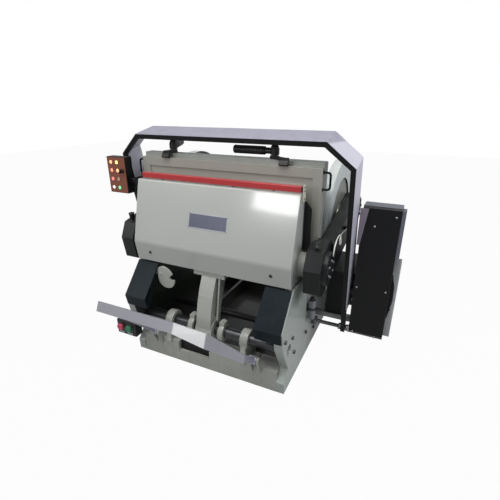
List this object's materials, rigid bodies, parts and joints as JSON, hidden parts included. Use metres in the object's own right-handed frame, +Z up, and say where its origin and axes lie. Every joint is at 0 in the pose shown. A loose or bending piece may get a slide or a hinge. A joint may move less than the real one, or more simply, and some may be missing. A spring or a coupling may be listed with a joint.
{
  "type": "platen die cutting press",
  "caption": "Floor-standing platen die cutting and creasing press: rocking platen, fixed bed with chase, side rods, geared crank drive, flywheel, safety hoop and foot bar.",
  "frame": {"origin": "on the floor, on the middle plane, at the anchored base's underside", "axes": "+X to the operator's right, +Y away from the operator, +Z up"},
  "size_m": [2.135, 1.836, 1.6808],
  "materials": {
    "machine_paint": "gloss light grey enamel with handling wear",
    "frame_paint": "gloss pale green-grey enamel on castings",
    "cast_dark": "semi-gloss charcoal enamel",
    "cover_black": "satin black enamel on sheet",
    "navy_panel": "satin dark navy enamel",
    "galvanised": "galvanised sheet",
    "steel": "machined steel",
    "cast_iron_raw": "oiled cast iron",
    "aluminium_bar": "brushed and scuffed",
    "rubber": "matt rubber",
    "oil_tube": "milky nylon",
    "red_paint": "gloss red",
    "plate_blue": "printed aluminium plate, bare",
    "plastic_black": "moulded",
    "plastic_red": "moulded",
    "plastic_green": "moulded",
    "lamp_lens": "lit lens"
  },
  "bodies": {
    "machine": {"base": "machine_paint", "side_frame_left": "frame_paint", "side_frame_right": "frame_paint", "cross_ties": "frame_paint", "bed": "machine_paint", "bed_ribs": "machine_paint", "die_chase": "machine_paint", "die_board": "machine_paint", "cutting_rules": "steel", "chase_handles": "cast_dark", "clamp_hooks": "cast_dark", "pivot_shaft": "steel", "pivot_pedestals": "machine_paint", "shaft_collars": "machine_paint", "shin_panels": "navy_panel", "bearing_housings": "steel", "gear_guard_left": "machine_paint", "gear_guard_right": "machine_paint", "belt_cover": "cover_black", "drive_brackets": "machine_paint", "flywheel_guard": "machine_paint", "drive_guard": "cover_black", "waste_tray": "cover_black", "motor": "cast_dark", "v_belts": "rubber", "hoop_pivot_rods": "steel", "front_brackets": "machine_paint", "button_station": "plastic_black", "panel_box": "cover_black", "panel_lamps": "lamp_lens", "frame_bolts": "steel"},
    "crank": {"crank_shaft": "steel", "main_gear_left": "cast_iron_raw", "main_gear_right": "cast_iron_raw"},
    "platen_swing": {"platen": "machine_paint", "cutting_plate": "steel", "platen_end_plates": "cast_dark", "rocker_arm": "machine_paint", "platen_cover": "machine_paint", "cover_trim": "plate_blue"},
    "brake": {"brake_bar": "red_paint"},
    "left_rod": {"rod_left": "cast_dark", "rod_caps_left": "cast_dark"},
    "right_rod": {"rod_right": "cast_dark", "rod_caps_right": "cast_dark", "oil_line": "oil_tube"},
    "pinions": {"pinion_shaft": "steel", "clutch_hub": "cast_dark"},
    "fly": {"flywheel": "cast_dark"},
    "motor_shaft": {"motor_pulley": "steel"},
    "hoop": {"hoop_frame": "cover_black", "hoop_skin": "galvanised"},
    "foot": {"foot_bar": "aluminium_bar", "foot_arms": "steel"},
    "left_clamp": {"clamp_left": "cast_dark"},
    "right_clamp": {"clamp_right": "cast_dark"},
    "hook": {"lock_hook": "machine_paint"},
    "stop": {"stop_button": "plastic_red"},
    "start": {"start_button": "plastic_green"},
    "knob": {"panel_knob": "plastic_black"}
  },
  "joints": [
    {"name": "crank_turn", "type": "hinge", "parent": "machine", "child": "crank", "pos_m": [0, 0.625, 0.985], "axis": [1, 0, 0], "range_deg": [0, 180]},
    {"name": "platen_open", "type": "hinge", "parent": "machine", "child": "platen_swing", "pos_m": [0, -0.33, 0.32], "axis": [1, 0, 0], "range_deg": [0, 45]},
    {"name": "left_rod_turn", "type": "hinge", "parent": "platen_swing", "child": "left_rod", "pos_m": [-0.74, -0.13, 0.867], "axis": [1, 0, 0], "range_deg": [-47.93, 0]},
    {"name": "right_rod_turn", "type": "hinge", "parent": "platen_swing", "child": "right_rod", "pos_m": [0.74, -0.13, 0.867], "axis": [1, 0, 0], "range_deg": [-47.93, 0]},
    {"name": "pinion_turn", "type": "hinge", "parent": "machine", "child": "pinions", "pos_m": [0, 0.625, 0.48], "axis": [1, 0, 0], "range_deg": [-1032.01, 0]},
    {"name": "flywheel_spin", "type": "hinge", "parent": "machine", "child": "fly", "pos_m": [1.02, 0.625, 0.48], "axis": [1, 0, 0], "continuous": true},
    {"name": "motor_spin", "type": "hinge", "parent": "machine", "child": "motor_shaft", "pos_m": [1.02, 0.9, 0.255], "axis": [1, 0, 0], "continuous": true},
    {"name": "brake_press", "type": "slide", "parent": "platen_swing", "child": "brake", "axis": [0, 0, -1], "range_m": [0, 0.008], "stiffness_N_per_m": 20000, "springref_m": -0.012},
    {"name": "hoop_push", "type": "hinge", "parent": "machine", "child": "hoop", "pos_m": [0, 0.25476, 0.21716], "axis": [1, 0, 0], "range_deg": [-3, 0], "stiffness_Nm_per_rad": 500, "springref_deg": 8.59},
    {"name": "foot_press", "type": "hinge", "parent": "machine", "child": "foot", "pos_m": [0, -0.43, 0.238], "axis": [1, 0, 0], "range_deg": [0, 12], "stiffness_Nm_per_rad": 200, "springref_deg": -22.92},
    {"name": "left_clamp_turn", "type": "hinge", "parent": "machine", "child": "left_clamp", "pos_m": [-0.46, 0.035, 1.55], "axis": [0, 0, 1], "range_deg": [-90, 0]},
    {"name": "right_clamp_turn", "type": "hinge", "parent": "machine", "child": "right_clamp", "pos_m": [0.341, 0.035, 1.55], "axis": [0, 0, 1], "range_deg": [-90, 0]},
    {"name": "hook_swing", "type": "hinge", "parent": "machine", "child": "hook", "pos_m": [-0.385, -0.322, 0.688], "axis": [0, -1, 0], "range_deg": [-15, 35]},
    {"name": "stop_press", "type": "slide", "parent": "machine", "child": "stop", "axis": [0, 1, 0], "range_m": [0, 0.006], "stiffness_N_per_m": 400, "springref_m": -0.005},
    {"name": "start_press", "type": "slide", "parent": "machine", "child": "start", "axis": [0, 1, 0], "range_m": [0, 0.006], "stiffness_N_per_m": 400, "springref_m": -0.005},
    {"name": "knob_turn", "type": "hinge", "parent": "machine", "child": "knob", "pos_m": [-0.79, -0.19, 1.375], "axis": [0, -1, 0], "range_deg": [-45, 45]}
  ],
  "couplings": [
    {"joint": "platen_open", "follows": "crank_turn", "ratio": 0.25},
    {"joint": "left_rod_turn", "follows": "crank_turn", "ratio": -0.26621},
    {"joint": "right_rod_turn", "follows": "crank_turn", "ratio": -0.26621},
    {"joint": "pinion_turn", "follows": "crank_turn", "ratio": -5.7333},
    {"joint": "motor_spin", "follows": "flywheel_spin", "ratio": 5.4706}
  ]
}
